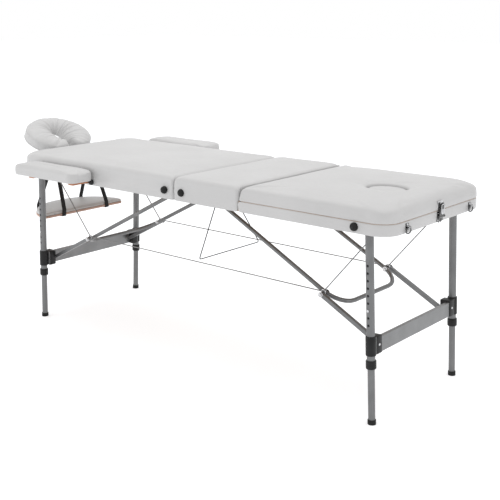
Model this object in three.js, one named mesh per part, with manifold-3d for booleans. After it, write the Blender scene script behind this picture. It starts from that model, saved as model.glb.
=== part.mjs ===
// Portable massage table: two hinged halves on folding telescopic legs, a tilting backrest,
// two side armrests, a face cradle and a hanging arm shelf. Millimetres, +Z up.
// X runs along the table, with the centre hinge at X = 0 before the last shift.
import * as THREE from 'three';
import { mergeVertices } from 'three/addons/utils/BufferGeometryUtils.js';
import Module from 'manifold-3d';

const wasm = await Module();
wasm.setup();

// ---- driving dimensions ----
const HALF_LENGTH = 930;
const HALF_WIDTH = 320;
const UNDERSIDE = 653;
const RAIL_TOP = 690;
const PAD_TOP = 747;
const CORNER_RADIUS = 70;
const COVER = 5;
const GAP = 0.3;
const SEAM_GAP = 1.2;
const RAIL_THICKNESS = 18;
const RAIL_INSET = 6;
const BOARD_THICKNESS = 6;
const BACKREST_START = 318;

const SPLAY = THREE.MathUtils.degToRad(3.04);
const LEG_PIVOT = { x: 826.5, z: 668 };
const LEG_Y = 278;
const LEG_AXIS_OFFSET = 7;
const UPPER_RADIUS = 14;
const UPPER_BORE = 12.4;
const LOWER_RADIUS = 12;
const LOWER_BORE = 10.4;
const SLEEVE_RADIUS = 17.5;
const UPPER_END = 468;
const LOWER_TOP = 258;
const HOLE_COUNT = 9;
const HOLE_PITCH = 25;
const FIRST_HOLE = 123;
const BUTTON_HOLE = 6;
const HOLE_RADIUS = 4.8;

const BRACE_PIVOT = { x: 60, z: 674 };
const UBAR_Y = 196;
const UBAR_RADIUS = 8;
const UBAR_REACH = 696;
const UBAR_BEND = 85;
const BRACE_Y = 221;
const BRACE_HALF = 7;
const BRACE_FOOT = { x: -11, z: -396 };
const CABLE_Y = 210;
const CABLE_RADIUS = 1.2;

const CRADLE_PIVOT = { x: -965, z: 672 };
const CRADLE_TILT = THREE.MathUtils.degToRad(26);
const CRADLE = { centre: -126, outerX: 128, outerY: 163, holeX: 66, holeY: 40, mouth: 18 };
const CRADLE_PLATE = { low: 20, high: 26, top: 68 };

// ---- materials ----
const finish = (color, roughness, metalness = 0) => () =>
  new THREE.MeshStandardMaterial({ color, roughness, metalness });
const vinyl = finish(0xe6e4e3, 0.45);
const wood = finish(0xc08a5c, 0.6);
const plywood = finish(0xb98a66, 0.7);
const aluminium = finish(0x8d8f92, 0.38, 0.9);
const steel = finish(0xb4b6b8, 0.3, 1);
const blackPlastic = finish(0x1b1b1c, 0.5);
const rubber = finish(0x202020, 0.85);
const webbing = finish(0x141414, 0.9);

// ---- solid helpers ----
const toSolid = (geometry) => {
  const bare = geometry.index ? geometry.toNonIndexed() : geometry.clone();
  bare.deleteAttribute('normal');
  bare.deleteAttribute('uv');
  const merged = mergeVertices(bare, 1e-4);
  const mesh = new wasm.Mesh({
    numProp: 3,
    vertProperties: new Float32Array(merged.attributes.position.array),
    triVerts: new Uint32Array(merged.index.array),
  });
  return new wasm.Manifold(mesh);
};

const toGeometry = (manifold) => {
  const mesh = manifold.getMesh();
  const geometry = new THREE.BufferGeometry();
  geometry.setAttribute('position', new THREE.BufferAttribute(new Float32Array(mesh.vertProperties), 3));
  geometry.setIndex(new THREE.BufferAttribute(new Uint32Array(mesh.triVerts), 1));
  geometry.computeVertexNormals();
  return geometry;
};

// Joins the first list of shapes, then cuts the second list away.
const build = (added, removed = []) => {
  let body = toSolid(added[0]);
  for (const shape of added.slice(1)) {
    body = body.add(toSolid(shape));
  }
  for (const shape of removed) {
    body = body.subtract(toSolid(shape));
  }
  return toGeometry(body);
};

const block = (x0, x1, y0, y1, z0, z1) => {
  const geometry = new THREE.BoxGeometry(Math.abs(x1 - x0), Math.abs(y1 - y0), Math.abs(z1 - z0));
  return geometry.translate((x0 + x1) / 2, (y0 + y1) / 2, (z0 + z1) / 2);
};

const rod = (from, to, radius, sides = 18) => {
  const start = new THREE.Vector3(...from);
  const end = new THREE.Vector3(...to);
  const along = new THREE.Vector3().subVectors(end, start);
  const geometry = new THREE.CylinderGeometry(radius, radius, along.length(), sides);
  const turn = new THREE.Quaternion().setFromUnitVectors(new THREE.Vector3(0, 1, 0), along.clone().normalize());
  geometry.applyQuaternion(turn);
  return geometry.translate(...start.add(end).multiplyScalar(0.5).toArray());
};

const upright = (x, y, z0, z1, radius, sides = 18) => rod([x, y, z0], [x, y, z1], radius, sides);
const crosswise = (x, y0, y1, z, radius, sides = 12) => rod([x, y0, z], [x, y1, z], radius, sides);

// Rectangle in plan with one corner radius at the low-X end and another at the high-X end.
const plan = (x0, x1, y0, y1, lowRadius, highRadius) => {
  const shape = new THREE.Shape();
  shape.moveTo(x0 + lowRadius, y0);
  shape.lineTo(x1 - highRadius, y0);
  shape.absarc(x1 - highRadius, y0 + highRadius, highRadius, -Math.PI / 2, 0);
  shape.lineTo(x1, y1 - highRadius);
  shape.absarc(x1 - highRadius, y1 - highRadius, highRadius, 0, Math.PI / 2);
  shape.lineTo(x0 + lowRadius, y1);
  shape.absarc(x0 + lowRadius, y1 - lowRadius, lowRadius, Math.PI / 2, Math.PI);
  shape.lineTo(x0, y0 + lowRadius);
  shape.absarc(x0 + lowRadius, y0 + lowRadius, lowRadius, Math.PI, Math.PI * 1.5);
  return shape;
};

const slab = (shape, z0, z1, curveSegments = 6) => {
  const geometry = new THREE.ExtrudeGeometry(shape, { depth: z1 - z0, bevelEnabled: false, curveSegments });
  return geometry.translate(0, 0, z0);
};

const ovalPrism = (x, radiusX, radiusY, z0, z1) => {
  const shape = new THREE.Shape();
  shape.absellipse(x, 0, radiusX, radiusY, 0, Math.PI * 2);
  return slab(shape, z0, z1, 14);
};

const place = (parent, name, geometry, material) => {
  const mesh = new THREE.Mesh(geometry, material());
  mesh.name = name;
  parent.add(mesh);
  return mesh;
};

const table = new THREE.Group();

// ---- wooden frame of one half, in the coordinates of the right half ----
const frameOutline = (start, inset) => {
  const radius = CORNER_RADIUS - inset;
  const side = HALF_WIDTH - inset;
  return plan(start, HALF_LENGTH - inset, -side, side, 1, radius);
};

const FRAME_START = 5;
const RAIL_INNER = HALF_WIDTH - RAIL_INSET - RAIL_THICKNESS;
const halfFrame = () => {
  const outer = slab(frameOutline(FRAME_START, RAIL_INSET), UNDERSIDE + 2, RAIL_TOP);
  const innerEnd = HALF_LENGTH - RAIL_INSET - RAIL_THICKNESS;
  const inner = plan(FRAME_START + RAIL_THICKNESS, innerEnd, -RAIL_INNER, RAIL_INNER, 1, 35);
  const pins = [-1, 1].map((side) =>
    crosswise(BRACE_PIVOT.x, side * (RAIL_INNER + 2), side * 187, BRACE_PIVOT.z, 4));
  return { added: [outer], inner: slab(inner, UNDERSIDE, RAIL_TOP + 1), pins };
};

const finishedFrame = (extra = [], cuts = []) => {
  const { added, inner, pins } = halfFrame();
  const ring = build(added, [inner]);
  return build([ring, ...pins, ...extra], cuts);
};

const turnRound = (geometry) => geometry.rotateZ(Math.PI);

// Room under the cover for the centre hinge's leaf.
const hingeRoom = () => block(-5, 34, -282, 282, UNDERSIDE - 5, UNDERSIDE + 2.2);

// Slat sockets and cradle sockets, in table coordinates on the left half.
const ARMREST = { x0: -812, x1: -436, inner: 325, outer: 442, top: 721, slats: [-730, -478] };
const SLAT_HALF = 14;
const SLAT_LOW = { front: 664.2, back: 676.4 };
const SLAT_THICKNESS = 12.3;
const SLAT_TIP = 298;
const CRADLE_POST_Y = 85;
const POST_RADIUS = 6;

const slatSockets = () => ['front', 'back'].flatMap((side) =>
  ARMREST.slats.map((x) => {
    const sign = side === 'front' ? -1 : 1;
    const low = SLAT_LOW[side];
    return block(x - SLAT_HALF - 0.5, x + SLAT_HALF + 0.5, sign * 290, sign * 330,
      low - 0.4, low + SLAT_THICKNESS + 0.4);
  }));

const postSockets = () => [-1, 1].map((side) =>
  rod([-890, side * CRADLE_POST_Y, CRADLE_PIVOT.z], [-940, side * CRADLE_POST_Y, CRADLE_PIVOT.z],
    POST_RADIUS + 0.4, 20));

// ---- left half ----
const leftHalf = () => {
  const group = new THREE.Group();
  const frame = turnRound(finishedFrame());
  place(group, 'left_frame', build([frame], [...slatSockets(), ...postSockets()]), wood);
  const board = slab(frameOutline(FRAME_START, RAIL_INSET), RAIL_TOP + GAP, RAIL_TOP + BOARD_THICKNESS + GAP);
  place(group, 'left_board', turnRound(board), plywood);
  const outside = slab(plan(SEAM_GAP, HALF_LENGTH, -HALF_WIDTH, HALF_WIDTH, 10, CORNER_RADIUS), UNDERSIDE, PAD_TOP);
  const pocket = slab(frameOutline(FRAME_START - 1, COVER), UNDERSIDE - 1, RAIL_TOP + BOARD_THICKNESS + 2 * GAP);
  const cuts = [turnRound(pocket), turnRound(hingeRoom()), ...slatSockets(), ...postSockets()];
  const pad = build([turnRound(outside)], cuts);
  place(group, 'left_pad', pad, vinyl);
  return group;
};

// ---- right half: seat section and the rim under the backrest ----
const RACK = { x0: 640, x1: 806, z0: 676.2, z1: 679.6, tooth: 24 };
const rackStrips = () => [-1, 1].map((side) =>
  block(RACK.x0, RACK.x1, side * 284, side * (RAIL_INNER + 2), RACK.z0, RACK.z1));
const rackNotches = () => {
  const notches = [];
  for (let x = RACK.x0 + RACK.tooth; x < RACK.x1 - 8; x += RACK.tooth) {
    for (const side of [-1, 1]) {
      notches.push(crosswise(x, side * 280, side * (RAIL_INNER - 0.5), RACK.z1 + 1.6, 3.4, 10));
    }
  }
  return notches;
};

const rightHalf = () => {
  const group = new THREE.Group();
  place(group, 'right_frame', finishedFrame(rackStrips(), rackNotches()), wood);
  const seatEnd = BACKREST_START - 2.7;
  const boardTop = RAIL_TOP + BOARD_THICKNESS + GAP;
  const side = HALF_WIDTH - RAIL_INSET;
  place(group, 'seat_board', block(FRAME_START, seatEnd - 4, -side, side, RAIL_TOP + GAP, boardTop), plywood);
  const outside = slab(plan(SEAM_GAP, seatEnd, -HALF_WIDTH, HALF_WIDTH, 10, 10), UNDERSIDE, PAD_TOP);
  const inside = HALF_WIDTH - COVER;
  const pocket = block(FRAME_START - 1, seatEnd - 3.5, -inside, inside, UNDERSIDE - 1, boardTop + GAP);
  const passage = block(300, seatEnd + 5, -inside, inside, UNDERSIDE - 1, RAIL_TOP + GAP);
  place(group, 'seat_pad', build([outside], [pocket, passage, hingeRoom()]), vinyl);
  const rimOutside = slab(plan(BACKREST_START - 1.5, HALF_LENGTH, -HALF_WIDTH, HALF_WIDTH, 1, CORNER_RADIUS),
    UNDERSIDE, RAIL_TOP - 0.5);
  const rimInside = slab(frameOutline(200, COVER), UNDERSIDE - 1, RAIL_TOP + 1);
  place(group, 'rim_cover', build([rimOutside], [rimInside]), vinyl);
  place(group, 'backrest_hinge_flap', block(315.7, 317.6, -300, 300, 697, 740), vinyl);
  return group;
};

// ---- piano hinge under the centre seam ----
const CENTRE_AXIS_Z = 650.5;
const KNUCKLE = 110;
const centreHinge = (name, sign, isPinSide) => {
  const shapes = [block(sign * 3.6, sign * 30, -275, 275, UNDERSIDE + 0.1, UNDERSIDE + 1.7)];
  const cuts = [];
  for (let i = 0; i < 5; i += 1) {
    const start = -275 + i * KNUCKLE;
    const mine = (i % 2 === 0) === isPinSide;
    if (mine) {
      shapes.push(crosswise(0, start + 0.3, start + KNUCKLE - 0.3, CENTRE_AXIS_Z, 3.4, 16));
      shapes.push(block(0, sign * 4, start + 0.3, start + KNUCKLE - 0.3, CENTRE_AXIS_Z + 1.6, UNDERSIDE + 1.7));
    }
  }
  if (isPinSide) {
    shapes.push(crosswise(0, -278, 278, CENTRE_AXIS_Z, 1.5, 12));
  } else {
    cuts.push(crosswise(0, -280, 280, CENTRE_AXIS_Z, 1.9, 12));
  }
  place(table, name, build(shapes, cuts), steel);
};

// ---- backrest panel, its oval plug and its two stays ----
const FACE_HOLE = { x: 725, radiusX: 76, radiusY: 60 };
const STAY = { x: 560, z: 686, y: 289, length: 316, radius: 4 };
const backrest = () => {
  const group = new THREE.Group();
  const board0 = RAIL_TOP + 1.3;
  const board1 = board0 + BOARD_THICKNESS;
  const boardPlan = plan(BACKREST_START + 4, HALF_LENGTH - 4, -HALF_WIDTH + 4, HALF_WIDTH - 4, 6, CORNER_RADIUS - 4);
  const lugs = [-1, 1].map((side) => block(STAY.x - 8, STAY.x + 8, side * 279, side * 283, 681, board0 + 2));
  const pins = [-1, 1].map((side) => crosswise(STAY.x, side * 281, side * 295, STAY.z, 1.9, 12));
  const boardHole = ovalPrism(FACE_HOLE.x, FACE_HOLE.radiusX - 12, FACE_HOLE.radiusY - 12, board0 - 20, board1 + 5);
  const board = build([slab(boardPlan, board0, board1), ...lugs, ...pins], [boardHole]);
  place(group, 'backrest_board', board, plywood);
  const outside = slab(plan(BACKREST_START, HALF_LENGTH, -HALF_WIDTH, HALF_WIDTH, 10, CORNER_RADIUS),
    board0 + 2, PAD_TOP);
  const pocket = slab(plan(BACKREST_START + 3.5, HALF_LENGTH - 3.5, -HALF_WIDTH + 3.5, HALF_WIDTH - 3.5, 6,
    CORNER_RADIUS - 3.5), board0 - 1, board1 + GAP);
  const hole = ovalPrism(FACE_HOLE.x, FACE_HOLE.radiusX, FACE_HOLE.radiusY, board0 - 1, PAD_TOP + 1);
  place(group, 'backrest_pad', build([outside], [pocket, hole]), vinyl);
  const plug = ovalPrism(FACE_HOLE.x, FACE_HOLE.radiusX - 1.5, FACE_HOLE.radiusY - 1.5, board1 + 0.5, PAD_TOP - 5);
  place(group, 'face_hole_plug', plug, vinyl);
  for (const side of [-1, 1]) {
    const name = side < 0 ? 'backrest_stay_front' : 'backrest_stay_back';
    const y = side * STAY.y;
    const shapes = [
      rod([STAY.x, y, STAY.z], [STAY.x + STAY.length, y, STAY.z], STAY.radius, 12),
      crosswise(STAY.x, y - 4, y + 4, STAY.z, 4.6, 16),
      crosswise(STAY.x + STAY.length, y - 4, y + 4, STAY.z, 4, 12),
    ];
    place(group, name, build(shapes, [crosswise(STAY.x, y - 6, y + 6, STAY.z, 2.3, 12)]), steel);
  }
  return group;
};

// ---- toggle latch on the right end ----
const LATCH_PIVOT = { x: 937, z: 672 };
const LATCH_LUG = { inner: 15, outer: 20 };
const latch = () => {
  const { x, z } = LATCH_PIVOT;
  const { inner, outer } = LATCH_LUG;
  const half = inner - 0.5;
  const lugs = [-1, 1].flatMap((side) => [
    crosswise(x, side * inner, side * outer, z, 4.5),
    block(HALF_LENGTH + 1, x, side * inner, side * outer, z - 4.5, z + 4.5),
  ]);
  const plate = block(HALF_LENGTH + GAP, HALF_LENGTH + 2.3, -outer, outer, UNDERSIDE + 2, RAIL_TOP - 1);
  const pin = crosswise(x, -inner - 2, inner + 2, z, 1.6);
  place(table, 'latch_base', build([plate, pin, ...lugs]), steel);
  const lever = build([
    crosswise(x, -half, half, z, 4.2),
    block(x - 1.8, x + 1.8, -half, half, z, z + 30),
    block(x - 1.8, x + 4.5, -half + 3, half - 3, z + 26, z + 41),
  ], [crosswise(x, -half - 3, half + 3, z, 2.1)]);
  place(table, 'latch_lever', lever, steel);
};

// ---- leg linkage ----
// The knee lies on the line between the two fixed ends when open, and the leg and the U-bar
// both lie flat when folded: that fixes both link lengths.
const alongLeg = (x, z) => ({
  x: LEG_PIVOT.x + x * Math.cos(SPLAY) - z * Math.sin(SPLAY),
  z: LEG_PIVOT.z + x * Math.sin(SPLAY) + z * Math.cos(SPLAY),
});
const braceFoot = alongLeg(BRACE_FOOT.x, BRACE_FOOT.z);
const spanX = braceFoot.x - BRACE_PIVOT.x;
const spanZ = BRACE_PIVOT.z - braceFoot.z;
const openSpan = Math.hypot(spanX, spanZ);
const foldedSpan = LEG_PIVOT.x + BRACE_FOOT.z - BRACE_PIVOT.x;
const KNEE_REACH = (openSpan + foldedSpan) / 2;
const BRACE_LENGTH = openSpan - KNEE_REACH;
const UBAR_SLOPE = Math.atan2(spanZ, spanX);
const KNEE = {
  x: BRACE_PIVOT.x + KNEE_REACH * Math.cos(UBAR_SLOPE),
  z: BRACE_PIVOT.z - KNEE_REACH * Math.sin(UBAR_SLOPE),
};

const upperLeg = (y, outward) => {
  const shapes = [
    upright(LEG_AXIS_OFFSET, y, 12, -UPPER_END, UPPER_RADIUS),
    upright(LEG_AXIS_OFFSET, y, -446, -472, 17),
  ];
  const cuts = [
    upright(LEG_AXIS_OFFSET, y, 20, -480, UPPER_BORE),
    crosswise(0, y - 20, y + 20, 0, 4.5),
  ];
  for (let i = 0; i < HOLE_COUNT; i += 1) {
    const z = -FIRST_HOLE - i * HOLE_PITCH;
    cuts.push(crosswise(LEG_AXIS_OFFSET, y + outward * 6, y + outward * 20, z, HOLE_RADIUS, 8));
  }
  return build(shapes, cuts);
};

// Depth along the leg where its axis meets the floor.
const LEG_LENGTH = (LEG_PIVOT.z + LEG_AXIS_OFFSET * Math.sin(SPLAY)) / Math.cos(SPLAY);
const BUTTON_Z = -FIRST_HOLE - BUTTON_HOLE * HOLE_PITCH;

const lowerLeg = (y, outward) => build(
  [upright(LEG_AXIS_OFFSET, y, -LOWER_TOP, -LEG_LENGTH + 6, LOWER_RADIUS)],
  [
    upright(LEG_AXIS_OFFSET, y, -LOWER_TOP + 5, -LEG_LENGTH - 5, LOWER_BORE),
    crosswise(LEG_AXIS_OFFSET, y + outward * 5, y + outward * 20, BUTTON_Z, HOLE_RADIUS, 8),
  ]);

// Cup round the tube's end, with its sole cut level with the floor.
const footCap = (y) => {
  const cup = upright(LEG_AXIS_OFFSET, y, -LEG_LENGTH + 16, -LEG_LENGTH - 4, 14.4);
  const socket = upright(LEG_AXIS_OFFSET, y, -LEG_LENGTH + 20, -LEG_LENGTH + 5.6, LOWER_RADIUS + GAP);
  const floor = block(-60, 60, -60, 60, -40, 0);
  floor.rotateY(SPLAY);
  floor.translate(LEG_AXIS_OFFSET, y, -LEG_LENGTH);
  return build([cup], [socket, floor]);
};

const springButton = (y, outward) => build([
  crosswise(LEG_AXIS_OFFSET, y + outward * 5.5, y + outward * 16.6, BUTTON_Z, HOLE_RADIUS - 0.4, 12),
  block(LEG_AXIS_OFFSET - 3, LEG_AXIS_OFFSET + 3, y + outward * 4.8, y + outward * 6, BUTTON_Z - 30, BUTTON_Z + 6),
]);

// Cross rail with a moulded sleeve at each end and the stub that the brace turns on.
const crossbar = () => {
  const shapes = [block(4, 19, -245, 245, -373, -425)];
  const cuts = [];
  for (const side of [-1, 1]) {
    shapes.push(upright(LEG_AXIS_OFFSET, side * LEG_Y, -363, -426, SLEEVE_RADIUS));
    shapes.push(block(-18, 21, side * 233, side * 266, -366, -426));
    shapes.push(crosswise(BRACE_FOOT.x, side * 213, side * 240, BRACE_FOOT.z, 3));
    cuts.push(upright(LEG_AXIS_OFFSET, side * LEG_Y, -350, -440, UPPER_RADIUS + GAP));
  }
  return build(shapes, cuts);
};

// A path that steps from one listed point to the next, so that long straights cost one step.
class PointPath extends THREE.Curve {
  constructor(points) {
    super();
    this.points = points;
  }

  getPoint(t, target = new THREE.Vector3()) {
    const place = t * (this.points.length - 1);
    const index = Math.min(Math.floor(place), this.points.length - 2);
    return target.lerpVectors(this.points[index], this.points[index + 1], place - index);
  }

  getPointAt(u, target) {
    return this.getPoint(u, target);
  }

  getTangentAt(u, target) {
    return this.getTangent(u, target);
  }
}

const BEND_STEPS = 6;
const uBar = () => {
  const straight = UBAR_REACH - UBAR_BEND;
  const flat = UBAR_Y - UBAR_BEND;
  const corner = (angle, side) => new THREE.Vector3(
    straight + UBAR_BEND * Math.cos(angle), side * flat + UBAR_BEND * Math.sin(angle), 0);
  const points = [new THREE.Vector3(-11, -UBAR_Y, 0)];
  for (const side of [-1, 1]) {
    const from = side < 0 ? -Math.PI / 2 : 0;
    for (let i = 0; i <= BEND_STEPS; i += 1) {
      points.push(corner(from + (i / BEND_STEPS) * (Math.PI / 2), side));
    }
  }
  points.push(new THREE.Vector3(-11, UBAR_Y, 0));
  const section = new THREE.Shape();
  section.absarc(0, 0, UBAR_RADIUS, 0, Math.PI * 2);
  const path = new PointPath(points);
  const tube = new THREE.ExtrudeGeometry(section, { steps: points.length - 1, curveSegments: 6, extrudePath: path });
  return build([tube], [-1, 1].map((side) => crosswise(0, side * 180, side * 212, 0, 4.4)));
};

const brace = (side) => {
  const direction = Math.PI - UBAR_SLOPE - SPLAY;
  const inner = side * (BRACE_Y - BRACE_HALF);
  const outer = side * (BRACE_Y + BRACE_HALF);
  const bar = block(0, BRACE_LENGTH, inner, outer, -BRACE_HALF, BRACE_HALF);
  const shapes = [
    bar,
    crosswise(0, inner, outer, 0, BRACE_HALF, 20),
    crosswise(BRACE_LENGTH, inner, outer, 0, BRACE_HALF + 1, 20),
    crosswise(BRACE_LENGTH, side * BRACE_Y, side * (BRACE_Y + 10), 0, 4.5, 12),
  ];
  const geometry = build(shapes, [crosswise(0, side * 210, side * 235, 0, 3.4)]);
  geometry.rotateY(-direction);
  return geometry.translate(BRACE_FOOT.x, 0, BRACE_FOOT.z);
};

const legEnd = (end) => {
  const group = new THREE.Group();
  const isRight = end === 'right';
  const sideName = (side) => ((side < 0) === isRight ? 'front' : 'back');
  const axle = crosswise(LEG_PIVOT.x, -RAIL_INNER + GAP, RAIL_INNER - GAP, LEG_PIVOT.z, 4);
  place(group, `${end}_leg_axle`, axle, steel);
  const legs = new THREE.Group();
  legs.position.set(LEG_PIVOT.x, 0, LEG_PIVOT.z);
  legs.rotation.y = -SPLAY;
  for (const side of [-1, 1]) {
    const y = side * LEG_Y;
    const tag = `${end}_${sideName(side)}`;
    place(legs, `${tag}_upper_leg`, upperLeg(y, side), aluminium);
    place(legs, `${tag}_lower_leg`, lowerLeg(y, side), aluminium);
    place(legs, `${tag}_foot`, footCap(y), rubber);
    place(legs, `${tag}_button`, springButton(y, side), steel);
    place(legs, `${tag}_brace`, brace(side), aluminium);
  }
  place(legs, `${end}_crossbar`, crossbar(), aluminium);
  group.add(legs);
  const bar = place(group, `${end}_u_bar`, uBar(), aluminium);
  bar.position.set(BRACE_PIVOT.x, 0, BRACE_PIVOT.z);
  bar.rotation.y = UBAR_SLOPE;
  if (!isRight) {
    group.rotation.z = Math.PI;
  }
  return group;
};

// ---- steel cables along both sides and the elastic cord between them ----
const cord = (points, radius) => {
  const shapes = [];
  points.slice(1).forEach((point, i) => {
    shapes.push(rod(points[i], point, radius, 8));
    if (i > 0) {
      const joint = new THREE.SphereGeometry(radius, 8, 4);
      shapes.push(joint.translate(...points[i]));
    }
  });
  return build(shapes);
};

const CABLE_TOP = { x: 836, z: 659 };
const CABLE_KNEE_Z = KNEE.z + 8;
const cables = () => {
  for (const side of [-1, 1]) {
    const y = side * CABLE_Y;
    const route = [
      [-CABLE_TOP.x, y, CABLE_TOP.z],
      [-KNEE.x, y, CABLE_KNEE_Z],
      [KNEE.x, y, CABLE_KNEE_Z],
      [CABLE_TOP.x, y, CABLE_TOP.z],
    ];
    place(table, side < 0 ? 'cable_front' : 'cable_back', cord(route, CABLE_RADIUS), steel);
  }
  const elastic = [[100, -183, 654], [0, -183, 396], [0, 183, 396], [-200, 183, 654]];
  place(table, 'elastic_cord', cord(elastic, 2), webbing);
};

// ---- armrests on two hardwood slats ----
const armrest = (side) => {
  const sign = side === 'front' ? -1 : 1;
  const low = SLAT_LOW[side];
  const lift = side === 'front' ? 0 : 25;
  const boardLow = low + SLAT_THICKNESS + (side === 'front' ? 0 : 12.8);
  const near = sign * ARMREST.inner;
  const far = sign * ARMREST.outer;
  const between = (a, b, inset) => [Math.min(a, b) + inset, Math.max(a, b) - inset];
  const [y0, y1] = between(near, far, 0);
  const [i0, i1] = between(near, far, 4.5);
  const shapes = [slab(plan(ARMREST.x0 + 4.5, ARMREST.x1 - 4.5, i0, i1, 26, 26), boardLow, boardLow + 6)];
  for (const x of ARMREST.slats) {
    shapes.push(block(x - SLAT_HALF, x + SLAT_HALF, sign * SLAT_TIP, sign * 412, low, low + SLAT_THICKNESS));
    shapes.push(block(x - SLAT_HALF, x + SLAT_HALF, sign * 331, sign * 412, low, boardLow + 1));
  }
  place(table, `armrest_${side}_board`, build(shapes), wood);
  const pocket = slab(plan(ARMREST.x0 + 4, ARMREST.x1 - 4, y0 + 4, y1 - 4, 26, 26), boardLow - 5, boardLow + 6 + GAP);
  const body = slab(plan(ARMREST.x0, ARMREST.x1, y0, y1, 30, 30), boardLow + 0.4, ARMREST.top + lift);
  place(table, `armrest_${side}_pad`, build([body], [pocket]), vinyl);
};

// ---- face cradle ----
// Horseshoe outline in the cradle's own plane: +X points to the table, the mouth opens that way.
const horseshoe = (inset) => {
  const { centre } = CRADLE;
  const outerX = CRADLE.outerX - inset;
  const outerY = CRADLE.outerY - inset;
  const mouth = CRADLE.mouth + inset;
  const holeX = CRADLE.holeX + inset;
  const holeY = CRADLE.holeY + inset;
  const outerStart = Math.asin(mouth / outerY);
  const holeStart = Math.asin(mouth / holeY);
  const shape = new THREE.Shape();
  shape.moveTo(centre + outerX * Math.cos(outerStart), mouth);
  shape.absellipse(centre, 0, outerX, outerY, outerStart, Math.PI * 2 - outerStart, false);
  shape.lineTo(centre + holeX * Math.cos(holeStart), -mouth);
  shape.absellipse(centre, 0, holeX, holeY, -holeStart, holeStart, true);
  return shape;
};

const cradle = () => {
  const post = (side) => rod([-897, side * CRADLE_POST_Y, CRADLE_PIVOT.z],
    [CRADLE_PIVOT.x, side * CRADLE_POST_Y, CRADLE_PIVOT.z], POST_RADIUS, 20);
  const tube = crosswise(CRADLE_PIVOT.x, -130, 130, CRADLE_PIVOT.z, 7, 20);
  place(table, 'cradle_arms', build([tube, post(-1), post(1)]), aluminium);
  const head = new THREE.Group();
  head.position.set(CRADLE_PIVOT.x, 0, CRADLE_PIVOT.z);
  head.rotation.y = CRADLE_TILT;
  const { low, high, top } = CRADLE_PLATE;
  const ears = [-1, 1].map((side) => block(-44, 12, side * 56, side * 66, -12, low + 2));
  const plate = build([slab(horseshoe(6), low, high, 14), ...ears], [crosswise(0, -80, 80, 0, 7.4, 20)]);
  place(head, 'cradle_plate', plate, blackPlastic);
  place(head, 'cradle_cushion', slab(horseshoe(0), high + GAP, top, 14), vinyl);
  table.add(head);
  const lever = build([
    crosswise(CRADLE_PIVOT.x, -130.4, -143, CRADLE_PIVOT.z, 13),
    block(CRADLE_PIVOT.x - 74, CRADLE_PIVOT.x, -142, -135, CRADLE_PIVOT.z - 6, CRADLE_PIVOT.z + 6),
  ]);
  place(table, 'cradle_lever', lever, blackPlastic);
};

// ---- arm shelf hanging from the cradle's cross tube on two strap loops ----
const SHELF = { x: -888, halfWidth: 228, depth: 205, low: 436, strapY: 128, strapWidth: 22 };
const halfMoon = (inset) => {
  const shape = new THREE.Shape();
  const rim = SHELF.halfWidth - inset;
  shape.moveTo(SHELF.x - inset, -rim + 14);
  shape.lineTo(SHELF.x - inset, rim - 14);
  shape.quadraticCurveTo(SHELF.x - inset, rim, SHELF.x - inset - 16, rim);
  shape.absellipse(SHELF.x - inset - 16, 0, SHELF.depth - inset - 16, rim, Math.PI / 2, Math.PI * 1.5, false);
  shape.quadraticCurveTo(SHELF.x - inset, -rim, SHELF.x - inset, -rim + 14);
  return shape;
};

const strapLoop = (side) => {
  const outline = (points) => points.map(([x, z]) => new THREE.Vector2(x, z));
  const far = SHELF.x - 182;
  const shape = new THREE.Shape(outline([
    [SHELF.x + 2.5, 431.5], [SHELF.x + 2.5, 461], [-954.5, 676], [-960, 681.6],
    [-970, 681.6], [-975.5, 676], [far - 2.5, 461], [far - 2.5, 431.5],
  ]));
  shape.holes.push(new THREE.Path(outline([
    [SHELF.x + 0.5, 433.5], [far - 0.5, 433.5], [far - 0.5, 461], [-973.2, 675],
    [-969, 679.6], [-961, 679.6], [-956.8, 675], [SHELF.x + 0.5, 461],
  ])));
  const geometry = new THREE.ExtrudeGeometry(shape, { depth: SHELF.strapWidth, bevelEnabled: false });
  geometry.rotateX(Math.PI / 2);
  geometry.translate(0, side * SHELF.strapY + SHELF.strapWidth / 2, 0);
  const lean = -side * (SHELF.strapY - 105) / (676 - 431);
  const shear = new THREE.Matrix4().set(1, 0, 0, 0, 0, 1, lean, -lean * 431, 0, 0, 1, 0, 0, 0, 0, 1);
  return geometry.applyMatrix4(shear);
};

const armShelf = () => {
  place(table, 'arm_shelf_board', slab(halfMoon(0), SHELF.low, SHELF.low + 9, 10), wood);
  place(table, 'arm_shelf_pad', slab(halfMoon(1), SHELF.low + 9 + GAP, SHELF.low + 22, 10), vinyl);
  place(table, 'shelf_strap_front', strapLoop(-1), webbing);
  place(table, 'shelf_strap_back', strapLoop(1), webbing);
};

// ---- the whole table ----
table.add(leftHalf(), rightHalf(), backrest());
centreHinge('centre_hinge_left', -1, true);
centreHinge('centre_hinge_right', 1, false);
latch();
table.add(legEnd('left'), legEnd('right'));
cables();
armrest('front');
armrest('back');
cradle();
armShelf();

// Origin: on the floor, under the centre of the whole assembly.
const bounds = new THREE.Box3().setFromObject(table, true);
table.position.x = -(bounds.min.x + bounds.max.x) / 2;
const model = new THREE.Group();
model.add(table);

export default model;
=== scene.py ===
# Portable massage table: fabric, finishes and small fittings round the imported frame, in metres.
import math

import bmesh
import bpy
import numpy as np
from mathutils import Matrix, Vector, noise


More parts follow.
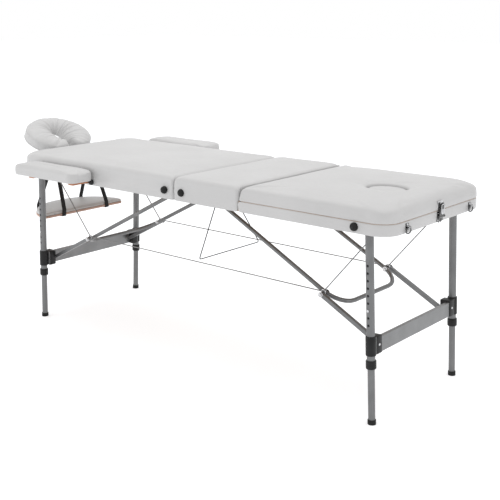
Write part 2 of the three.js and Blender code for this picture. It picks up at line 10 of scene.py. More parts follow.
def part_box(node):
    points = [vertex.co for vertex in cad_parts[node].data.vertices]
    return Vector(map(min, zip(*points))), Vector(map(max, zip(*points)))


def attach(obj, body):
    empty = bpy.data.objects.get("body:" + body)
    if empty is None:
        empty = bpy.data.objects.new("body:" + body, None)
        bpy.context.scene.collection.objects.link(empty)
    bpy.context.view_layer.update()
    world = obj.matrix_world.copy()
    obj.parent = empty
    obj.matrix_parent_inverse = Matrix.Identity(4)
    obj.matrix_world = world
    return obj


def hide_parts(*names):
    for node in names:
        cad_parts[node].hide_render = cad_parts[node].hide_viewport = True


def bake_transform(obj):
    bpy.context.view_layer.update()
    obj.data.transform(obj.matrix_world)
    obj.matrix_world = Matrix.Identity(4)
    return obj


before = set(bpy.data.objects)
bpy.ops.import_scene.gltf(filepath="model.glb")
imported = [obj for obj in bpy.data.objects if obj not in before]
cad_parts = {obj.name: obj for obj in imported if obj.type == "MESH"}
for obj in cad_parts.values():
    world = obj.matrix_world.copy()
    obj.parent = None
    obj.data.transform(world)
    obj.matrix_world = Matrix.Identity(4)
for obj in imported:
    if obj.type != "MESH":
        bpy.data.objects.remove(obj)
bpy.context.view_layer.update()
scene = bpy.context.scene
scene.view_settings.view_transform = "Standard"

# ---- places taken from the frame ----
MM = 0.001
SEAM_X = (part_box("left_frame")[1][0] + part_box("right_frame")[0][0]) / 2
SPLAY = math.radians(3.04)
LEG_PIVOT = (0.8265, 0.668)
LEG_AXIS = 0.007
LEG_Y = 0.278
CRADLE_TILT = math.radians(26)


def at(x, y, z):
    """A point given in millimetres from the centre seam at floor level."""
    return Vector((SEAM_X + x * MM, y * MM, z * MM))


def leg_at(end, x, y, z):
    """A point in a leg's own tilted axes, in metres, for the left (-1) or right (1) end."""
    along = LEG_PIVOT[0] + x * math.cos(SPLAY) - z * math.sin(SPLAY)
    height = LEG_PIVOT[1] + x * math.sin(SPLAY) + z * math.cos(SPLAY)
    return Vector((SEAM_X + end * along, y, height))


# ---- camera ----
CAMERA_PLACE = (2371, -2703, 1347)
CAMERA_DOWN, CAMERA_YAW = 14.8, 39.98
CAMERA_LENS, CAMERA_SENSOR = 66.2, 36


def add_camera():
    data = bpy.data.cameras.new("camera")
    data.lens = CAMERA_LENS
    data.sensor_width = CAMERA_SENSOR
    camera = bpy.data.objects.new("camera", data)
    camera.location = at(*CAMERA_PLACE)
    camera.rotation_euler = (math.radians(90 - CAMERA_DOWN), 0, math.radians(CAMERA_YAW))
    scene.collection.objects.link(camera)
    scene.camera = camera


add_camera()


# ---- materials ----
def start_material(name, roughness, metallic=0.0, specular=0.5):
    made = bpy.data.materials.new(name)
    made.use_nodes = True
    tree = made.node_tree
    shader = tree.nodes["Principled BSDF"]
    shader.inputs["Roughness"].default_value = roughness
    shader.inputs["Metallic"].default_value = metallic
    shader.inputs["Specular IOR Level"].default_value = specular
    place = tree.nodes.new("ShaderNodeTexCoord")
    return made, tree, shader, place.outputs["Object"]


def mapped(tree, source, scale):
    node = tree.nodes.new("ShaderNodeMapping")
    node.inputs["Scale"].default_value = scale
    tree.links.new(source, node.inputs["Vector"])
    return node.outputs["Vector"]


def noise_map(tree, source, scale, detail=4.0, roughness=0.55):
    node = tree.nodes.new("ShaderNodeTexNoise")
    node.inputs["Scale"].default_value = scale
    node.inputs["Detail"].default_value = detail
    node.inputs["Roughness"].default_value = roughness
    tree.links.new(source, node.inputs["Vector"])
    return node.outputs["Fac"]


def colour_ramp(tree, source, stops):
    node = tree.nodes.new("ShaderNodeValToRGB")
    ramp = node.color_ramp
    ramp.elements[0].position, ramp.elements[-1].position = stops[0][0], stops[-1][0]
    for place, _ in stops[1:-1]:
        ramp.elements.new(place)
    for element, (_, colour) in zip(ramp.elements, stops):
        element.color = (*colour, 1)
    tree.links.new(source, node.inputs["Fac"])
    return node.outputs["Color"]


def ranged(tree, source, low, high):
    node = tree.nodes.new("ShaderNodeMapRange")
    node.inputs["To Min"].default_value = low
    node.inputs["To Max"].default_value = high
    tree.links.new(source, node.inputs["Value"])
    return node.outputs["Result"]


def add_bump(tree, shader, layers):
    """Stacks bump layers, each a (height, strength, distance in metres)."""
    normal = None
    for height, strength, distance in layers:
        node = tree.nodes.new("ShaderNodeBump")
        node.inputs["Strength"].default_value = strength
        node.inputs["Distance"].default_value = distance
        tree.links.new(height, node.inputs["Height"])
        if normal:
            tree.links.new(normal, node.inputs["Normal"])
        normal = node.outputs["Normal"]
    tree.links.new(normal, shader.inputs["Normal"])


def leather(name, light, dark):
    made, tree, shader, place = start_material(name, 0.46, specular=0.4)
    broad = noise_map(tree, place, 5.5, 3.0)
    tree.links.new(colour_ramp(tree, broad, [(0.3, dark), (0.7, light)]), shader.inputs["Base Color"])
    cells = tree.nodes.new("ShaderNodeTexVoronoi")
    cells.feature = "DISTANCE_TO_EDGE"
    cells.inputs["Scale"].default_value = 620
    tree.links.new(place, cells.inputs["Vector"])
    pores = noise_map(tree, place, 1500, 2.0)
    tree.links.new(ranged(tree, noise_map(tree, place, 60, 5.0), 0.38, 0.54), shader.inputs["Roughness"])
    shader.inputs["Coat Weight"].default_value = 0.12
    shader.inputs["Coat Roughness"].default_value = 0.35
    creases = noise_map(tree, mapped(tree, place, (1.0, 1.6, 1.0)), 14, 5.0, 0.6)
    add_bump(tree, shader, [
        (creases, 0.5, 0.0015), (cells.outputs["Distance"], 0.30, 0.00025), (pores, 0.15, 0.00008)])
    return made


def timber(name, light, dark, stretch, rough=0.5):
    made, tree, shader, place = start_material(name, rough, specular=0.35)
    along = mapped(tree, place, stretch)
    rings = tree.nodes.new("ShaderNodeTexWave")
    rings.bands_direction = "Z" if stretch[2] > 5 else "Y"
    rings.inputs["Scale"].default_value = 6
    rings.inputs["Distortion"].default_value = 9
    rings.inputs["Detail"].default_value = 3
    rings.inputs["Detail Scale"].default_value = 2.5
    tree.links.new(along, rings.inputs["Vector"])
    fibre = noise_map(tree, along, 55, 6.0, 0.65)
    grain = tree.nodes.new("ShaderNodeMixRGB")
    grain.inputs["Fac"].default_value = 0.55
    tree.links.new(rings.outputs["Fac"], grain.inputs["Color1"])
    tree.links.new(fibre, grain.inputs["Color2"])
    middle = tuple((a + b) / 2 for a, b in zip(light, dark))
    stops = [(0.22, dark), (0.5, middle), (0.78, light)]
    tree.links.new(colour_ramp(tree, grain.outputs["Color"], stops), shader.inputs["Base Color"])
    tree.links.new(ranged(tree, fibre, rough - 0.08, rough + 0.12), shader.inputs["Roughness"])
    add_bump(tree, shader, [(fibre, 0.35, 0.0002)])
    return made


def metal(name, light, dark, roughness, brushed=(1.0, 1.0, 1.0), metallic=1.0):
    made, tree, shader, place = start_material(name, roughness, metallic)
    streaks = noise_map(tree, mapped(tree, place, brushed), 240, 3.0)
    cloud = noise_map(tree, place, 14, 3.0)
    tree.links.new(colour_ramp(tree, cloud, [(0.3, dark), (0.7, light)]), shader.inputs["Base Color"])
    tree.links.new(ranged(tree, streaks, roughness - 0.07, roughness + 0.09), shader.inputs["Roughness"])
    add_bump(tree, shader, [(streaks, 0.12, 0.00006)])
    return made


def moulded(name, light, dark, roughness):
    made, tree, shader, place = start_material(name, roughness, specular=0.25)
    cloud = noise_map(tree, place, 35, 4.0)
    tree.links.new(colour_ramp(tree, cloud, [(0.3, dark), (0.7, light)]), shader.inputs["Base Color"])
    spark = noise_map(tree, place, 1400, 2.0)
    tree.links.new(ranged(tree, spark, roughness - 0.08, roughness + 0.1), shader.inputs["Roughness"])
    add_bump(tree, shader, [(spark, 0.28, 0.00012)])
    return made


def woven(name, light, dark):
    made, tree, shader, place = start_material(name, 0.82, specular=0.25)
    shader.inputs["Sheen Weight"].default_value = 0.25
    shader.inputs["Sheen Roughness"].default_value = 0.4
    threads = []
    for direction in ("Y", "DIAGONAL"):
        wave = tree.nodes.new("ShaderNodeTexWave")
        wave.bands_direction = direction
        wave.inputs["Scale"].default_value = 210
        tree.links.new(place, wave.inputs["Vector"])
        threads.append(wave.outputs["Fac"])
    weave = tree.nodes.new("ShaderNodeMath")
    weave.operation = "MULTIPLY"
    tree.links.new(threads[0], weave.inputs[0])
    tree.links.new(threads[1], weave.inputs[1])
    colour = colour_ramp(tree, weave.outputs[0], [(0.1, dark), (0.8, light)])
    tree.links.new(colour, shader.inputs["Base Color"])
    add_bump(tree, shader, [(weave.outputs[0], 0.6, 0.0004)])
    return made


VINYL = leather("white_vinyl", (0.492, 0.488, 0.487), (0.462, 0.458, 0.457))
RAIL_WOOD = timber("hardwood", (0.52, 0.34, 0.23), (0.34, 0.21, 0.13), (1.0, 9.0, 9.0))
SLAT_WOOD = timber("oiled_slat", (0.52, 0.26, 0.15), (0.36, 0.16, 0.09), (9.0, 1.0, 9.0))
SHELF_WOOD = timber("shelf_edge", (0.50, 0.33, 0.26), (0.36, 0.22, 0.17), (7.0, 1.0, 9.0))
PLYWOOD = timber("plywood_face", (0.42, 0.31, 0.22), (0.28, 0.19, 0.13), (1.5, 8.0, 14.0), 0.6)
ALUMINIUM = metal("satin_aluminium", (0.185, 0.187, 0.19), (0.150, 0.152, 0.154), 0.38, (1.0, 1.0, 0.05), 0.7)
RAIL_METAL = metal("brushed_rail", (0.23, 0.232, 0.234), (0.19, 0.192, 0.194), 0.38, (1.0, 0.05, 1.0), 0.7)
CHROME = metal("bright_plate", (0.62, 0.62, 0.63), (0.52, 0.52, 0.53), 0.20)
# Painted reflection: this steel's dark base colour stands in for dark surroundings mirrored in bright chrome,
# on the latch and the strap rings.
DARK_REFLECTION_STEEL = metal("steel_painted_dark_reflection", (0.14, 0.14, 0.14), (0.07, 0.07, 0.07), 0.26)
CABLE_STEEL = metal("cable_strand", (0.24, 0.24, 0.24), (0.15, 0.15, 0.15), 0.38, (0.3, 3.0, 3.0))
PLASTIC = moulded("black_moulding", (0.014, 0.014, 0.0145), (0.007, 0.007, 0.0075), 0.42)
RUBBER = moulded("black_rubber", (0.013, 0.013, 0.013), (0.007, 0.007, 0.007), 0.62)
WEBBING = woven("black_webbing", (0.032, 0.032, 0.033), (0.008, 0.008, 0.008))
BINDING = leather("tan_binding", (0.46, 0.36, 0.29), (0.38, 0.29, 0.23))

FINISHES = [
    (("_frame",), RAIL_WOOD), (("left_board", "seat_board", "backrest_board"), PLYWOOD),
    (("armrest_front_board", "armrest_back_board"), SLAT_WOOD), (("arm_shelf_board",), SHELF_WOOD),
    (("_leg", "u_bar", "_brace"), ALUMINIUM), (("crossbar",), RAIL_METAL), (("cradle_arms",), CHROME),
    (("latch",), DARK_REFLECTION_STEEL), (("leg_axle", "button", "hinge", "stay"), CHROME), (("_foot",), RUBBER),
    (("cradle_plate", "cradle_lever"), PLASTIC),
]


def finish_frame():
    for name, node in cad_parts.items():
        for keys, made in FINISHES:
            if any(key in name for key in keys) and node.data.materials:
                node.material_slots[0].material = made


finish_frame()


# ---- mesh helpers ----
SHARP = math.radians(38)


def piece(name, verts, faces, made, body=None, slot=None, replaced=(), sharp=SHARP):
    """Links a closed mesh, shades it, and puts it on its body."""
    mesh = bpy.data.meshes.new(name)
    mesh.from_pydata([tuple(v) for v in verts], [], faces)
    work = bmesh.new()
    work.from_mesh(mesh)
    bmesh.ops.recalc_face_normals(work, faces=work.faces)
    for face in work.faces:
        face.smooth = True
    for edge in work.edges:
        edge.smooth = not edge.is_manifold or edge.calc_face_angle(0) < sharp
    work.to_mesh(mesh)
    work.free()
    mesh.materials.append(made)
    made_object = bpy.data.objects.new(name, mesh)
    scene.collection.objects.link(made_object)
    if replaced:
        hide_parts(*replaced)
    if body:
        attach(made_object, body)
    return made_object


def skin(rings, closed=False):
    """Vertices and faces of rings joined in turn. A ladder of faces closes each end of an open skin."""
    count = len(rings[0])
    verts = [point for ring in rings for point in ring]
    faces = []
    last = len(rings) if closed else len(rings) - 1
    for i in range(last):
        a, b = i * count, ((i + 1) % len(rings)) * count
        for j in range(count):
            k = (j + 1) % count
            faces.append((a + j, a + k, b + k, b + j))
    if not closed:
        for start in (0, (len(rings) - 1) * count):
            for j in range(count // 2 - 1):
                faces.append((start + j, start + j + 1, start + count - 2 - j, start + count - 1 - j))
            if count % 2:
                faces.append((start + count // 2 - 1, start + count // 2, start + count // 2 + 1))
    return verts, faces


def turned(name, profile, base, axis, made, body, slot, sides=36, closed=False):
    """A turned piece: profile is a list of (radius, height) along axis from base."""
    axis = Vector(axis).normalized()
    across = axis.orthogonal().normalized()
    other = axis.cross(across)
    rings = []
    for radius, height in profile:
        middle = Vector(base) + axis * height
        rings.append([
            middle + (across * math.cos(a) + other * math.sin(a)) * max(radius, 1e-5)
            for a in (2 * math.pi * i / sides for i in range(sides))])
    return piece(name, *skin(rings, closed), made, body, slot)


def swept(name, path, section, made, body=None, slot=None, up=(0, 0, 1), closed=False, replaced=()):
    """A section of (sideways, upwards) points carried along a path, square to it."""
    path = [Vector(p) for p in path]
    rings = []
    count = len(path)
    up = Vector(up)
    for i, point in enumerate(path):
        before = path[(i - 1) % count] if closed or i else point
        after = path[(i + 1) % count] if closed or i < count - 1 else point
        ahead = (after - before).normalized()
        side = ahead.cross(up).normalized()
        rise = side.cross(ahead)
        rings.append([point + side * u + rise * v for u, v in section])
    return piece(name, *skin(rings, closed), made, body, slot, replaced)


def circle(radius, sides=14):
    return [(radius * math.cos(2 * math.pi * i / sides), radius * math.sin(2 * math.pi * i / sides))
            for i in range(sides)]


def rounded_box(half_u, half_v, radius, steps=4):
    """A flat section with round corners."""
    points = []
    for cu, cv, start in ((1, 1, 0), (-1, 1, 90), (-1, -1, 180), (1, -1, 270)):
        for i in range(steps + 1):
            a = math.radians(start + 90 * i / steps)
            u, v = cu * (half_u - radius), cv * (half_v - radius)
            points.append((u + radius * math.cos(a), v + radius * math.sin(a)))
    return points


def bar(name, start, end, half_u, half_v, radius, made, body, slot, up=(0, 0, 1)):
    """A straight bar with rounded edges and softened ends."""
    start, end = Vector(start), Vector(end)
    ahead = (end - start).normalized()
    side = ahead.cross(Vector(up)).normalized()
    rise = side.cross(ahead)
    rings = []
    length = (end - start).length
    soft = min(radius, length / 3)
    for along, shrink in ((0, soft), (soft * 0.3, soft * 0.35), (soft, 0), (length - soft, 0),
                          (length - soft * 0.3, soft * 0.35), (length, soft)):
        cut = shrink * 0.8
        section = rounded_box(half_u - cut, half_v - cut, max(radius - cut, radius * 0.3))
        rings.append([start + ahead * along + side * u + rise * v for u, v in section])
    return piece(name, *skin(rings), made, body, slot)


# ---- padded covers ----
CORNER_STEPS = 10
EDGE_STEPS = (28, 40, 28, 40)


def outline(low, high, radii, inset, z, soft=True):
    """A rounded rectangle in plan, always with the same points: radii at the low-X and high-X ends.
    A soft outline's corners grow rounder with the inset, and a hard one's shrink with it."""
    points = []
    low_radius, high_radius = radii
    corners = [
        (high[0], low[1], -1, 1, high_radius, -90), (high[0], high[1], -1, -1, high_radius, 0),
        (low[0], high[1], 1, -1, low_radius, 90), (low[0], low[1], 1, 1, low_radius, 180)]
    room = min(high[0] - low[0], high[1] - low[1]) / 2 - inset
    for x, y, sign_x, sign_y, radius, start in corners:
        reach = radius + inset * 0.8 if soft and inset > 0 else max(radius - inset, 0.0015)
        reach = min(reach, room * 0.96)
        centre_x = x + sign_x * (inset + reach)
        centre_y = y + sign_y * (inset + reach)
        for i in range(CORNER_STEPS + 1):
            a = math.radians(start + 90 * i / CORNER_STEPS)
            points.append(np.array((centre_x + reach * math.cos(a), centre_y + reach * math.sin(a), z)))
    full = []
    per = CORNER_STEPS + 1
    for c in range(4):
        arc = points[c * per:(c + 1) * per]
        full += arc
        nxt = points[((c + 1) % 4) * per]
        for i in range(1, EDGE_STEPS[c]):
            full.append(arc[-1] + (nxt - arc[-1]) * i / EDGE_STEPS[c])
    return np.array(full)


def coordinates(obj):
    return np.array([v.co for v in obj.data.vertices], float)


def set_coordinates(obj, points):
    obj.data.vertices.foreach_set("co", points.astype(np.float32).ravel())
    obj.data.update()


CLOTH_FRAMES = 20


def inflate(obj, cap, held, pressure=4.0, growth=0.0):
    """Swells a cover by cloth simulation, and limits how far any point has moved."""
    rest = coordinates(obj)
    if len(held):
        group = obj.vertex_groups.new(name="held")
        group.add([int(i) for i in held], 1.0, "REPLACE")
    cloth = obj.modifiers.new("Cloth", "CLOTH")
    settings = cloth.settings
    if len(held):
        settings.vertex_group_mass = "held"
    settings.quality = 5
    settings.mass = 0.25
    settings.tension_stiffness = 18
    settings.compression_stiffness = 18
    settings.shear_stiffness = 8
    settings.bending_stiffness = 0.6
    settings.shrink_min = -growth
    settings.use_pressure = True
    settings.uniform_pressure_force = pressure
    settings.effector_weights.gravity = 0
    cloth.point_cache.frame_start = 1
    cloth.point_cache.frame_end = CLOTH_FRAMES
    for step in range(1, CLOTH_FRAMES + 1):
        scene.frame_set(step)
    graph = bpy.context.evaluated_depsgraph_get()
    swollen = np.array([v.co for v in obj.evaluated_get(graph).data.vertices], float)
    obj.modifiers.remove(cloth)
    scene.frame_set(1)
    move = swollen - rest
    size = np.linalg.norm(move, axis=1, keepdims=True) + 1e-12
    set_coordinates(obj, rest + move / size * cap * np.tanh(size / cap))


def subdivide(obj):
    modifier = obj.modifiers.new("Fine", "SUBSURF")
    modifier.levels = modifier.render_levels = 1
    graph = bpy.context.evaluated_depsgraph_get()
    finer = bpy.data.meshes.new_from_object(obj.evaluated_get(graph))
    obj.modifiers.remove(modifier)
    old = obj.data
    obj.data = finer
    bpy.data.meshes.remove(old)


def ripple(obj, amount, scale, top_only=None):
    """Small smooth unevenness of foam under its cover."""
    points = coordinates(obj)
    for i, point in enumerate(points):
        if top_only is None or point[2] > top_only:
            points[i, 2] += amount * noise.noise(Vector(point) * scale)
    set_coordinates(obj, points)


# A cover's rounded edge, the rise of its top, its lip folded in below, and the thickness of its walls.
EDGE_ROUND = 0.024
CROWN = 0.003
LIP = 0.0085
COVER = 0.0042
# How far outside the hole, and how far below the pad's top, the rounded edge of the hole lies.
HOLE_EDGE = [
    (0.010, 0.0006), (0.0065, 0.0018), (0.0038, 0.0038), (0.0018, 0.0068), (0.0005, 0.0105), (0, 0.017),
    (0, 0.032)]
HOLE_BORDER = 0.017


def side_profile(low, top, edge, crown, lip, bulge=0.0016):
    """(inset, height) of a cover from its folded lip up the side and over the rounded edge."""
    profile = [(lip, low + 0.0004), (lip * 0.5, low), (0.0012, low), (0.0002, low + 0.0012)]
    shoulder = top - crown - edge
    for t in np.linspace(0.08, 1, 7):
        profile.append((-bulge * math.sin(math.pi * t), low + (shoulder - low) * t))
    for a in np.linspace(0.12, 1, 9) * math.pi / 2:
        profile.append((edge * (1 - math.cos(a)), shoulder + edge * math.sin(a)))
    for inset in (1.3, 1.8, 2.6, 3.8):
        profile.append((edge * inset, top - crown * math.exp(-(inset - 1) * 0.9)))
    return profile


TOP_STEPS = 24


def foam_pad(name, low, high, radii, pocket, body, replaced, hole=None, edge=EDGE_ROUND, lip=LIP,
             swell=0.005, passage=None):
    """A boxed foam pad, hollow below where the frame stands, with an oval hole if it has one.
    Its high-X end is open below the height of the passage."""
    base = low[2]
    profile = side_profile(base, high[2], edge, CROWN, lip)
    rings = [outline(low, high, radii, inset, z, soft=z > base + 0.01) for inset, z in profile]
    inner_edge = rings[-1]
    if hole:
        centre, radius_x, radius_y = hole
        angles = np.arctan2(inner_edge[:, 1] - centre[1], inner_edge[:, 0] - centre[0])

        def oval(grow, z):
            return np.array([(centre[0] + (radius_x + grow) * math.cos(a),
                              centre[1] + (radius_y + grow) * math.sin(a), z) for a in angles])
        target = oval(HOLE_BORDER, high[2])
    else:
        middle = (np.array(low[:2]) + np.array(high[:2])) / 2
        half = (np.array(high[:2]) - np.array(low[:2])) / 2
        spine = np.maximum(half - half[::-1], 0) * 0.9
        away = inner_edge[:, :2] - middle
        target = np.column_stack([middle + np.clip(away, -spine, spine) + away * 0.02,
                                  np.full(len(inner_edge), high[2])])
    for t in np.linspace(0, 1, TOP_STEPS)[1:]:
        ring = inner_edge + (target - inner_edge) * t
        ring[:, 2] = high[2]
        rings.append(ring)
    outer_count = len(rings)
    if hole:
        rings += [oval(grow, high[2] - fall) for grow, fall in HOLE_EDGE]
        rings += [oval(0, pocket + 0.004), oval(0.001, pocket)]
    wall = [(COVER, base + 0.0012), (COVER, (base + pocket) / 2), (COVER, pocket)]
    inside = [outline(low, high, radii, inset, z, soft=False) for inset, z in wall]
    if hole:
        ceiling = inside[-1]
        floor = rings[-1]
        for t in (0.75, 0.5, 0.25):
            ring = floor + (ceiling - floor) * (1 - t)
            rings.append(ring)
        rings += inside[::-1]
        verts, faces = skin(rings, closed=True)
    else:
        ceiling = inside[-1].copy()
        centre = np.array([(low[0] + high[0]) / 2, 0.5 * (low[1] + high[1]), pocket])
        deep = [ceiling + (centre - ceiling) * t for t in (0.97, 0.6, 0.3)]
        verts, faces = skin(deep + inside[::-1] + rings)
    made = piece(name, verts, faces, VINYL, sharp=math.radians(70))
    points = coordinates(made)
    if passage:
        at_end = (points[:, 0] > high[0] - 0.011) & (np.abs(points[:, 1]) < high[1] - COVER - 0.001)
        points[at_end, 2] = np.maximum(points[at_end, 2], passage)
        set_coordinates(made, points)
    held = [i for i, p in enumerate(points) if p[2] < high[2] - edge - 0.4 * (high[2] - base) or (
        not hole and i < 6 * len(inner_edge)) or (hole and i >= outer_count * len(inner_edge))]
    inflate(made, swell, held)
    subdivide(made)
    ripple(made, 0.0012, 7.0, high[2] - edge)
    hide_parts(*replaced)
    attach(made, body)
    return made


SECTION_RADIUS = 0.012
END_RADIUS = 0.070
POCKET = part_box("left_board")[1][2] + 0.0005


def table_pads():
    low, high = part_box("left_pad")
    foam_pad("left_cushion", low, high, (END_RADIUS, SECTION_RADIUS), POCKET, "left_half",
             ["left_pad"])
    low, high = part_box("seat_pad")
    foam_pad("seat_cushion", low, high, (SECTION_RADIUS, SECTION_RADIUS), POCKET, "right_half",
             ["seat_pad"], passage=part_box("seat_board")[0][2])
    low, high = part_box("backrest_pad")
    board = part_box("backrest_board")[1][2]
    plug_low, plug_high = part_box("face_hole_plug")
    centre = ((plug_low[0] + plug_high[0]) / 2, 0.0)
    radii = ((plug_high[0] - plug_low[0]) / 2 + 0.0012, (plug_high[1] - plug_low[1]) / 2 + 0.0012)
    foam_pad("backrest_cushion", low, high, (SECTION_RADIUS, END_RADIUS), board + 0.0004, "backrest",
             ["backrest_pad"], hole=(centre, *radii))


def oval_cushion():
    """The padded plug that closes the face hole."""
    low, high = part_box("face_hole_plug")
    centre = ((low[0] + high[0]) / 2, (low[1] + high[1]) / 2)
    half = ((high[0] - low[0]) / 2 - 0.0006, (high[1] - low[1]) / 2 - 0.0006)
    top = high[2] - 0.002
    profile = [(0.3, low[2]), (0.7, low[2]), (0.97, low[2]), (1.0, low[2] + 0.003), (1.0, top - 0.016),
               (0.994, top - 0.0105), (0.975, top - 0.0064), (0.945, top - 0.0036), (0.90, top - 0.0018),
               (0.83, top - 0.0007), (0.72, top), (0.55, top + 0.0005), (0.35, top + 0.0008),
               (0.15, top + 0.0010)]
    rings = [[np.array((centre[0] + half[0] * s * math.cos(a), centre[1] + half[1] * s * math.sin(a), z))
              for a in np.linspace(0, 2 * math.pi, 72, endpoint=False)] for s, z in profile]
    plug = piece("face_plug_cushion", *skin(rings), VINYL, sharp=math.radians(70))
    held = [i for i, p in enumerate(coordinates(plug)) if p[2] < high[2] - 0.012]
    inflate(plug, 0.002, held)
    subdivide(plug)
    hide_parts("face_hole_plug")
    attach(plug, "face_plug")


RIM_TURN = 0.0028
SEAM_DEPTH = 0.0011
SEAM_RISE = 0.0031


def rim_skirt():
    """The vinyl round the rim under the backrest, open at the seat end."""
    low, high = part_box("rim_cover")
    radius = END_RADIUS
    open_x = low[0] + 0.0004
    path = [np.array((open_x, low[1], 0.0))]
    for t in np.linspace(0, 1, 40)[1:]:
        path.append(np.array((low[0] + (high[0] - radius - low[0]) * t, low[1], 0.0)))
    for centre_y, start in ((low[1] + radius, -90), (high[1] - radius, 0)):
        for i in range(1, 15):
            a = math.radians(start + 90 * i / 14)
            x = high[0] - radius + radius * math.cos(a)
            path.append(np.array((x, centre_y + radius * math.sin(a), 0.0)))
        if start == -90:
            for t in np.linspace(0, 1, 36)[1:]:
                path.append(np.array((high[0], low[1] + radius + (high[1] - low[1] - 2 * radius) * t, 0.0)))
    for t in np.linspace(0, 1, 40)[1:]:
        path.append(np.array((high[0] - radius + (open_x - high[0] + radius) * t, high[1], 0.0)))
    depth = high[2] - low[2] + RIM_TURN
    section = [(0.0046, 0.0), (0.0012, 0.0), (0.0, 0.0012), (-0.0009, depth * 0.3), (-0.0012, depth * 0.55),
               (-0.0008, depth * 0.8), (0.0, depth - 0.003), (0.0010, depth - 0.0008), (0.0030, depth),
               (0.0046, depth - 0.0006), (0.0046, depth * 0.5)]
    rings = []
    for i, point in enumerate(path):
        before, after = path[max(i - 1, 0)], path[min(i + 1, len(path) - 1)]
        ahead = (after - before) / np.linalg.norm(after - before)
        inward = np.array((-ahead[1], ahead[0], 0.0))
        rings.append([point + inward * u + np.array((0, 0, low[2] + v)) for u, v in section])
    skirt = piece("rim_skirt", *skin(rings), VINYL, sharp=math.radians(60))
    subdivide(skirt)
    seam_z = high[2] + SEAM_RISE
    seam = [point + np.array((0, 0, seam_z)) for point in path[1:-1]]
    middle = np.array(((low[0] + high[0]) / 2, 0, seam_z))
    reach = (high[0] - low[0]) / 2
    shrink = np.array((1 - SEAM_DEPTH / reach, 1 - SEAM_DEPTH / high[1], 1))
    seam = [middle + (point - middle) * shrink for point in seam]
    swept("rim_binding", seam, circle(0.0009, 8), BINDING, "right_half", "vinyl")
    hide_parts("rim_cover")
    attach(skirt, "right_half")


def hinge_flap():
    """The vinyl strip that the backrest turns on, between the two pads."""
    low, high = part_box("backrest_hinge_flap")
    x = (low[0] + high[0]) / 2
    path = [(x + 0.0003 * math.sin(7 * t), low[1] + (high[1] - low[1]) * t, (low[2] + high[2]) / 2)
            for t in np.linspace(0, 1, 50)]
    section = rounded_box(0.0007, (high[2] - low[2]) / 2, 0.0006, 2)
    flap = swept("hinge_flap", path, section, VINYL, None, "vinyl", replaced=("backrest_hinge_flap",))
    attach(flap, "right_half")


table_pads()
oval_cushion()
rim_skirt()
hinge_flap()


# Height of each armrest's pocket above the underside of its slats.
ARMREST_POCKET = {"front": 0.0187, "back": 0.0315}


def armrest_pads():
    for side in ("front", "back"):
        low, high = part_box(f"armrest_{side}_pad")
        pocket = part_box(f"armrest_{side}_board")[0][2] + ARMREST_POCKET[side]
        foam_pad(f"armrest_{side}_cushion", low, high, (0.030, 0.030), pocket, f"armrest_{side}",
                 [f"armrest_{side}_pad"], edge=0.009, lip=COVER, swell=0.003)


armrest_pads()


# ---- face cradle ----
CRADLE_PIVOT = at(-965, 0, 672)


def tilted(x, y, z):
    """A point in the cradle's own tilted plane, in millimetres."""
    turn = Matrix.Rotation(CRADLE_TILT, 3, "Y")
    return CRADLE_PIVOT + turn @ (Vector((x, y, z)) * MM)


CRADLE_CENTRE = -126.0
CRADLE_OUTER = (127.5, 162.5)
CRADLE_HOLE = (37.0, 16.5)
CRADLE_MOUTH = 12.0
CRADLE_SEAM = 56.0
# Across the ring from the underside of its rim (1) to the hole (-1), with the height in millimetres.
CRADLE_SECTION = [
    (0.955, 19.8), (0.985, 19.6), (1.0, 21.0), (1.006, 27.0), (1.010, 36.0), (1.008, 46.0), (1.0, 54.0),
    (0.985, CRADLE_SEAM), (0.93, 61.0), (0.85, 65.5), (0.74, 70.0), (0.60, 74.0), (0.44, 76.8), (0.27, 78.4),
    (0.10, 78.8), (-0.07, 78.0), (-0.23, 76.0), (-0.38, 72.6), (-0.52, 68.0), (-0.66, 61.8), (-0.79, 54.0),
    (-0.90, 45.0), (-0.97, 36.0), (-1.0, 29.5), (-0.97, 26.6), (-0.80, 26.4), (-0.4, 26.4), (0.1, 26.4),
    (0.5, 26.4), (0.86, 26.4), (0.90, 26.0), (0.93, 22.0)]
CRADLE_MIDDLE = 45.0
CRADLE_START = 7
CRADLE_STEPS, END_STEPS = 220, 11
CRADLE_HELD = 34


def on_ellipse(radii, angle, out=0.0):
    """A point of the cradle's plan, its ellipse made larger by out."""
    return CRADLE_CENTRE + (radii[0] + out) * math.cos(angle), (radii[1] + out) * math.sin(angle)


def gathers(angle):
    """Depth of the puckers sewn round the face hole, from 0 to about 1."""
    fine = math.sin(angle * 17 + 1.9 * math.sin(angle * 3))
    return 0.5 + 0.34 * fine + 0.26 * math.sin(angle * 29 + 0.8 + math.sin(angle * 5))


